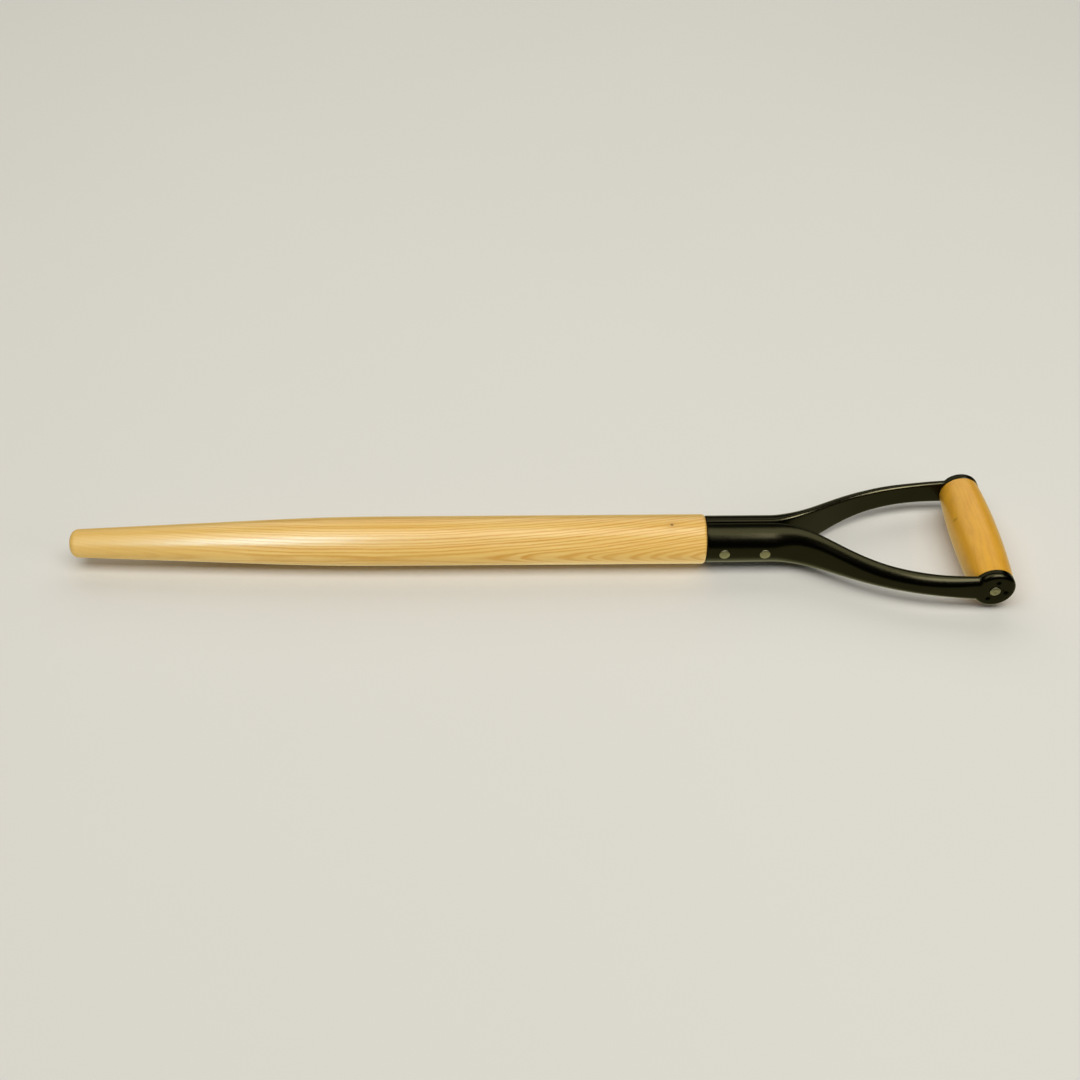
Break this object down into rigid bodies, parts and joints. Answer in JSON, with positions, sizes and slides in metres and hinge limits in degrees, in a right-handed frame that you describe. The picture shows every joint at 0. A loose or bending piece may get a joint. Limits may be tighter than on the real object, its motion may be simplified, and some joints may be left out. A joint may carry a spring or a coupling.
{
  "type": "tapered d-grip tool handle",
  "caption": "Turned ash handle for a digging tool: a tapered end that fits a tool's socket, and a riveted black steel yoke that holds a wooden D-grip.",
  "frame": {"origin": "centre of the flat end of the tapered tip", "axes": "+X along the shaft from the tip towards the grip, +Y along the grip, +Z square to the plane of the D"},
  "size_m": [0.7122, 0.1206, 0.0382],
  "materials": {
    "ash": "clear satin lacquer over turned ash",
    "black_paint": "satin black enamel",
    "rivet_steel": "plain bright steel, headed cold",
    "grip_wood": "clear satin lacquer over fine-grained wood"
  },
  "bodies": {
    "root": {"shaft": "ash", "near_yoke_half": "black_paint", "far_yoke_half": "black_paint", "ferrule_rivet_front": "rivet_steel", "ferrule_rivet_rear": "rivet_steel", "grip": "grip_wood", "grip_rivet": "rivet_steel"}
  },
  "joints": []
}
